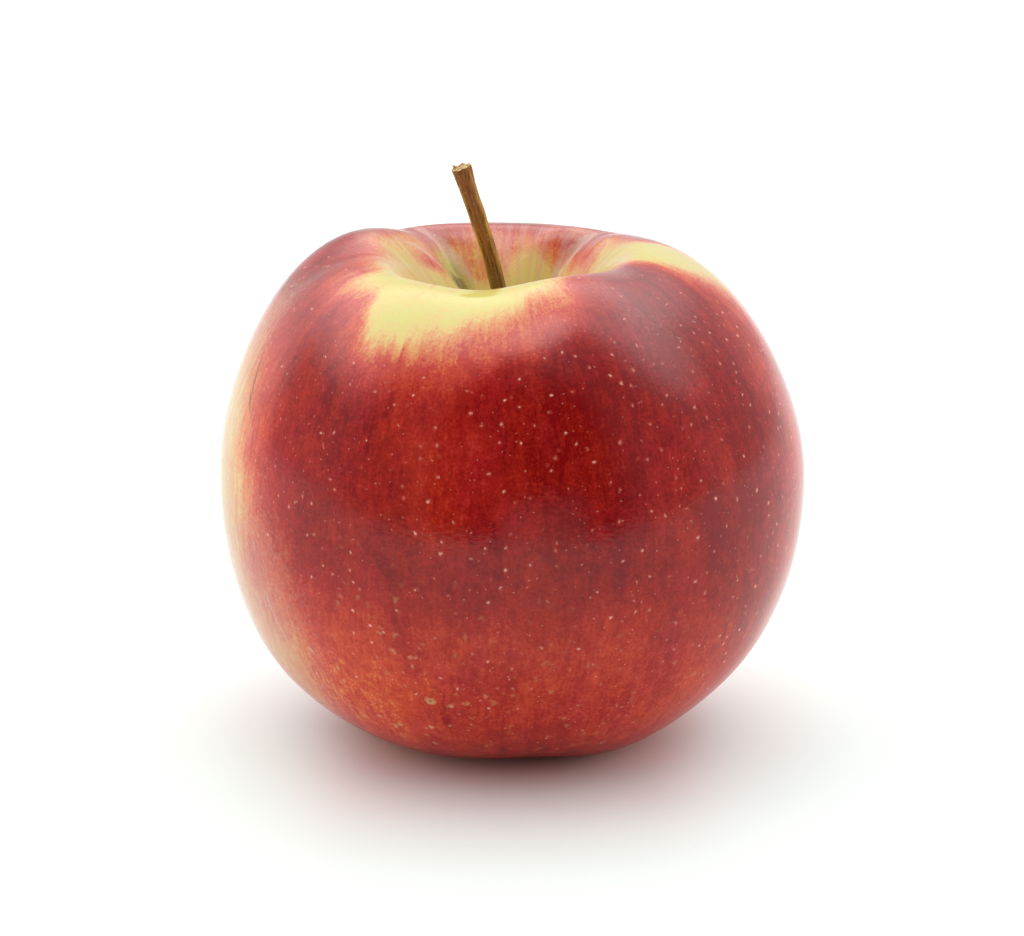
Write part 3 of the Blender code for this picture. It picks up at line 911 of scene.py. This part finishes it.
driedLook = dict(
    sepal=dict(dark=(0.045, 0.028, 0.014), light=(0.27, 0.20, 0.10), size=700.0),
    stamen=dict(dark=(0.018, 0.010, 0.006), light=(0.11, 0.065, 0.035), size=1500.0),
    # detail, roughness and squeeze of the patterns, and their shares in the colour
    patches=(4.0, 0.7), patchShare=0.7, hairs=(3.0, 0.7, 0.3), hairsInPatch=6.0, hairShare=0.5,
    lightWhere=(0.42, 0.78), roughness=0.9, shine=0.25, bumpDistance=0.00010, bumpStrength=0.9,
)


def basinHeight(radius):
    section, _ = fruitSection(SimpleNamespace(**fruitShape))
    inner = section[sum(fruitShape["rings"][:3]):][::-1]
    return float(np.interp(radius, inner[:, 0], inner[:, 1]))


# the sepal's middle line, which leans out more and more
def sepalSpine(sizes):
    root = basinHeight(sizes.ringRadius) - sizes.gap - sizes.thickness / 2
    spine = [Vector((sizes.ringRadius, 0.0, root))]
    step = sizes.length / sizes.steps
    for index in range(sizes.steps):
        share = ((index + 0.5) / sizes.steps) ** 2
        lean = math.radians(sizes.rootLean + (sizes.tipLean - sizes.rootLean) * share)
        spine.append(spine[-1] + step * Vector((math.sin(lean), 0.0, -math.cos(lean))))
    return spine


def makeSepal(number, material):
    sizes = SimpleNamespace(**calyxShape)
    edgeDepth, edgeWaves = sizes.edgeWaves
    bendDepth, bendWaves = sizes.bend
    flutterDepth, flutterWaves, flutterAcross = sizes.flutter
    wrinkleDepth, wrinkleWaves, wrinklesAcross = sizes.wrinkles
    shape = bmesh.new()
    bmesh.ops.create_grid(shape, x_segments=sizes.across, y_segments=sizes.steps, size=1.0)
    random = np.random.default_rng(sizes.sepalSeed + number)
    phases = random.uniform(0.0, math.tau, 6)
    curl = random.uniform(*sizes.curl)
    spine = sepalSpine(sizes)
    for vertex in shape.verts:
        index = round((vertex.co.y + 1.0) / 2.0 * sizes.steps)
        share = index / sizes.steps
        across = vertex.co.x
        width = sizes.tipWidth + (sizes.width - sizes.tipWidth) * (1.0 - share ** sizes.narrowing)
        width *= 1.0 + edgeDepth * math.sin(edgeWaves * share + phases[0]) - edgeDepth
        cup = sizes.cup * curl * across * across * (1.0 - share)
        rib = sizes.ribHeight * math.exp(-(across / sizes.ribWidth) ** 2) * (1.0 - share)
        wave = flutterDepth * abs(across) * math.sin(flutterWaves * share + phases[1]
                                                     + across * flutterAcross)
        wave += wrinkleDepth * math.sin(wrinkleWaves * share + wrinklesAcross * across + phases[2])
        bend = bendDepth * math.sin(bendWaves * share + phases[3]) * share
        vertex.co = spine[index] + Vector((-cup + rib + wave, across * width / 2.0 + bend, 0.0))
    bmesh.ops.recalc_face_normals(shape, faces=shape.faces)
    bmesh.ops.solidify(shape, geom=shape.faces[:], thickness=sizes.thickness * sizes.bladeShare)
    turn = Matrix.Rotation(math.tau * (number + sizes.firstTurn) / sizes.sepals, 4, "Z")
    shift = Matrix.Translation((fruitShape["footShift"], 0, 0))
    bmesh.ops.transform(shape, matrix=shift @ turn, verts=shape.verts)
    bmesh.ops.scale(shape, vec=(mm, mm, mm), verts=shape.verts)
    mesh = meshFrom(shape, f"sepalLook{number + 1}")
    addPiece(mesh, f"sepal_dried_{number + 1}", material, "dried_sepal", f"sepal_{number + 1}")


def driedMaterial(name, dark, light, size):
    look = SimpleNamespace(**driedLook)
    material, _, shader, place = newMaterial(name)
    patches = noise(place, size, *look.patches)
    hairs = noise(place, size * look.hairsInPatch, *look.hairs)
    share = calc("MULTIPLY_ADD", hairs, look.hairShare, calc("MULTIPLY", patches, look.patchShare))
    colour = blendColours(ease(share, *look.lightWhere), dark, light)
    setInputs(shader, {"Base Color": colour, "Roughness": look.roughness,
                       "Specular IOR Level": look.shine,
                       "Normal": bumpFrom(hairs, look.bumpDistance, look.bumpStrength)})
    return material


def makeStamen(number, material):
    sizes = SimpleNamespace(**calyxShape)
    top = basinHeight(sizes.stamenRing) - sizes.gap
    turn = math.tau * number / sizes.stamens
    lean = math.radians(sizes.stamenLean + sizes.leanStep * (number % 3))
    length = sizes.stamenLength * (1.0 - sizes.shorterStep * (number % 4))
    route = []
    for along in np.linspace(0.0, length, sizes.stamenPoints):
        reach = sizes.stamenRing + along * math.sin(lean)
        bend = sizes.stamenBend * math.sin(along * sizes.bendWaves + number * sizes.bendStart)
        route.append((math.cos(turn) * reach - math.sin(turn) * bend + fruitShape["footShift"],
                      math.sin(turn) * reach + math.cos(turn) * bend, top - along * math.cos(lean)))

    def stamenRadius(angle, along):
        ridges = ripples(angle, along, seed=number, **sizes.stamenRidges)
        return 1.0 + sizes.stamenRidge * ridges

    mesh = makeRod(f"stamenLook{number + 1}", route, sizes.stamenRadii, sizes.stamenFineness,
                   stamenRadius)
    addPiece(mesh, f"stamen_dried_{number + 1}", material, "dried_stamen", f"stamen_{number + 1}")


def styleRadius(angle, along):
    return 1.0 + calyxShape["styleRidge"] * ripples(angle, along, **calyxShape["styleRidges"])


def makeStyle(material):
    sizes = SimpleNamespace(**calyxShape)
    high = fruitShape["basinHeight"] - sizes.gap
    route = [(fruitShape["footShift"], 0.0, high - along)
             for along in np.linspace(0.0, sizes.styleLength, sizes.stylePoints)]
    mesh = makeRod("styleLook", route, sizes.styleRadii, sizes.styleFineness, styleRadius)
    addPiece(mesh, "style_dried", material, "dried_stamen", "style")


sepalMaterial = driedMaterial("driedSepal", **driedLook["sepal"])
for sepalNumber in range(calyxShape["sepals"]):
    makeSepal(sepalNumber, sepalMaterial)
stamenMaterial = driedMaterial("driedStamen", **driedLook["stamen"])
for stamenNumber in range(calyxShape["stamens"]):
    makeStamen(stamenNumber, stamenMaterial)
makeStyle(stamenMaterial)
print("flower remains made")


# Floor, light, camera. Lengths are in metres. Angles are in degrees: turns from the front,
# + to the right, and rises from the horizon.

studio = dict(
    floorSize=8.0, floorFront=0.26, floorWhite=(0.90, 0.90, 0.885),
    floorRoughness=0.8, floorShine=0.1,
    # painted light: near the fruit the floor is painted greener, to take out part of the red light the
    # fruit throws onto it; under the fruit it is painted red-brown, a painted shadow
    floorNear=(0.85, 0.915, 0.88), nearFrom=(0.026, 0.050), nearTo=(0.20, 0.10),
    floorUnder=(0.92, 0.66, 0.58), underTo=(0.029, 0.015),
    # painted shade: where the fruit mirrors it, the floor near the fruit is painted darker and red
    mirrored=(0.60, 0.0, 0.0), mirroredTo=(0.058, 0.032, 0.0, 0.38),
    # painted light: beside the fruit the floor glows a little, so the shadow there is lighter
    sideLift=0.10, liftColour=(0.42, 1.0, 0.96),
    liftFrom=(0.016, 0.030), liftTo=(0.078, 0.036), liftDepth=(0.060, 0.020),
    # towards the back the floor glows, as a lit backdrop does
    backdropGlow=0.30, glowFrom=(0.05, 0.55),

    # light that falls on the fruit
    leftLight=0.82, rightLight=0.98, backLight=1.35, topLight=1.45, softGain=1.22,
    sideTurns=(-40, 40), backTurns=(95, 135), topRises=(25, 62),
    # a wall in front, a dark part in it and a card low down: left, right and top edges
    leftWallLight=0.35, rightWallLight=0.50, wallEdges=((-78, -52), (96, 68), (85, 50)),
    darkLight=0.04, darkEdges=((-32, -28), (58, 27), (76, 50)), darkTilt=0.3,
    cardLight=0.62, cardEdges=((-9, -1), (30, 22), (8, 2)),
    # what shines in the skin: a window behind and above, a lamp overhead, a dimmer back
    leftWindow=3.9, rightWindow=3.4, windowSides=(-0.45, 0.45),
    windowTurns=(60, 108), windowRises=((22, 50), (84, 72)),
    overheadLight=5.6, overheadRises=(71, 84),
    leftBackShine=0.74, rightBackShine=0.58, backShineSides=(-0.6, 0.6),
    backShineTurns=(75, 120), backShineRises=(48, 14),
    # place, size and radiance of the soft lights that leave no reflection
    fills=(((-0.9, -0.25, 0.30), 0.9, 1.34), ((0.9, -0.25, 0.30), 0.9, 1.22),
           ((0.0, -0.85, 0.85), 0.9, 0.48)),
    cameraPlace=(0.0, -0.4312, 0.1616), cameraDown=16.37, lens=121.1, clipStart=0.01,
)


def floorMaterial(room):
    material, tree, shader, place = newMaterial("paleFloor")
    x, y, _ = split(place)
    away = addNode(tree, "VectorMath", {0: place}, operation="LENGTH").outputs["Value"]
    shining = addNode(tree, "LightPath").outputs["Is Glossy Ray"]
    # painted light and shade near the fruit: a green tint against its red bounce, a red-brown painted
    # shadow under it, a darker mirrored floor, and a glow beside it
    near = product(ease(away, *room.nearFrom), ease(away, *room.nearTo))
    colour = blendColours(near, room.floorWhite, room.floorNear)
    colour = blendColours(ease(away, *room.underTo), colour, room.floorUnder)
    mirrored = product(shining, ease(away, *room.mirroredTo))
    colour = blendColours(mirrored, colour, room.mirrored)
    aside = calc("ABSOLUTE", x)
    lift = product(ease(aside, *room.liftFrom), ease(aside, *room.liftTo),
                   ease(calc("ABSOLUTE", y), *room.liftDepth))
    glow = product(ease(y, *room.glowFrom, 0.0, room.backdropGlow), calc("SUBTRACT", 1.0, shining))
    setInputs(shader, {"Base Color": colour, "Roughness": room.floorRoughness,
                       "Specular IOR Level": room.floorShine,
                       "Emission Color": blendColours(lift, (1.0, 1.0, 1.0), room.liftColour),
                       "Emission Strength": calc("MAXIMUM", glow, product(lift, room.sideLift))})
    return material


def makeFloor(room):
    half = room.floorSize / 2.0
    shape = bmesh.new()
    bmesh.ops.create_grid(shape, x_segments=1, y_segments=1, size=half)
    bmesh.ops.translate(shape, verts=shape.verts, vec=(0.0, half - room.floorFront, 0.0))
    mesh = meshFrom(shape, "floor")
    mesh.materials.append(floorMaterial(room))
    addObject("floor", mesh)


def panel(turn, rise, edges):
    left, right, top = edges
    return product(ease(turn, *left), ease(turn, *right), ease(rise, *top))


def fallingLight(room, turn, rise):
    aside = calc("ABSOLUTE", turn)
    side = ease(turn, *room.sideTurns, room.leftLight, room.rightLight)
    wall = ease(turn, *room.sideTurns, room.leftWallLight, room.rightWallLight)
    tilted = calc("MULTIPLY_ADD", turn, room.darkTilt, rise)
    level = blendLevels(ease(aside, *room.backTurns), side, room.backLight)
    level = blendLevels(ease(rise, *room.topRises), level, room.topLight)
    level = blendLevels(panel(turn, rise, room.wallEdges), level, wall)
    level = blendLevels(panel(turn, tilted, room.darkEdges), level, room.darkLight)
    return blendLevels(panel(turn, rise, room.cardEdges), level, room.cardLight)


def shiningLight(room, level, turn, rise, x):
    aside = calc("ABSOLUTE", turn)
    lower, upper = room.windowRises
    window = product(ease(aside, *room.windowTurns), ease(rise, *lower), ease(rise, *upper))
    pane = ease(x, *room.windowSides, room.leftWindow, room.rightWindow)
    shine = blendLevels(window, level, pane)
    shine = blendLevels(ease(rise, *room.overheadRises), shine, room.overheadLight)
    low = product(ease(aside, *room.backShineTurns), ease(rise, *room.backShineRises))
    back = ease(x, *room.backShineSides, room.leftBackShine, room.rightBackShine)
    return blendLevels(low, shine, product(shine, back))


def makeLight(room):
    world = bpy.data.worlds.new("lightTent")
    bpy.context.scene.world = world
    world.use_nodes = True
    tree = world.node_tree
    background = tree.nodes["Background"]
    x, y, z = split(addNode(tree, "TexCoord").outputs["Generated"])
    turn = turnFromFront(x, y)
    rise = calc("DEGREES", calc("ARCSINE", z))
    level = fallingLight(room, turn, rise)
    shine = shiningLight(room, level, turn, rise, x)
    path = addNode(tree, "LightPath").outputs
    level = product(level, room.softGain)
    level = blendLevels(path["Is Glossy Ray"], level, shine)
    level = calc("MAXIMUM", level, path["Is Camera Ray"])     # the backdrop is white
    setInputs(background, {"Color": (1.0, 1.0, 1.0), "Strength": level})


def makeFills(room):
    for number, (place, size, radiance) in enumerate(room.fills):
        data = bpy.data.lights.new(f"fill_{number + 1}", "AREA")
        data.size = size
        data.energy = radiance * math.pi * size * size
        light = addObject(data.name, data)
        light.location = place
        light.rotation_euler = (-Vector(place)).to_track_quat("-Z", "Y").to_euler()
        light.visible_glossy = False
        light.visible_camera = False


def makeCamera(room):
    data = bpy.data.cameras.new("camera")
    data.lens = room.lens
    data.clip_start = room.clipStart
    camera = addObject("camera", data)
    camera.location = room.cameraPlace
    camera.rotation_euler = (math.radians(90.0 - room.cameraDown), 0.0, 0.0)
    bpy.context.scene.camera = camera


room = SimpleNamespace(**studio)
makeFloor(room)
makeLight(room)
makeFills(room)
makeCamera(room)
bpy.context.scene.view_settings.view_transform = "Standard"
print("floor, light and camera made")
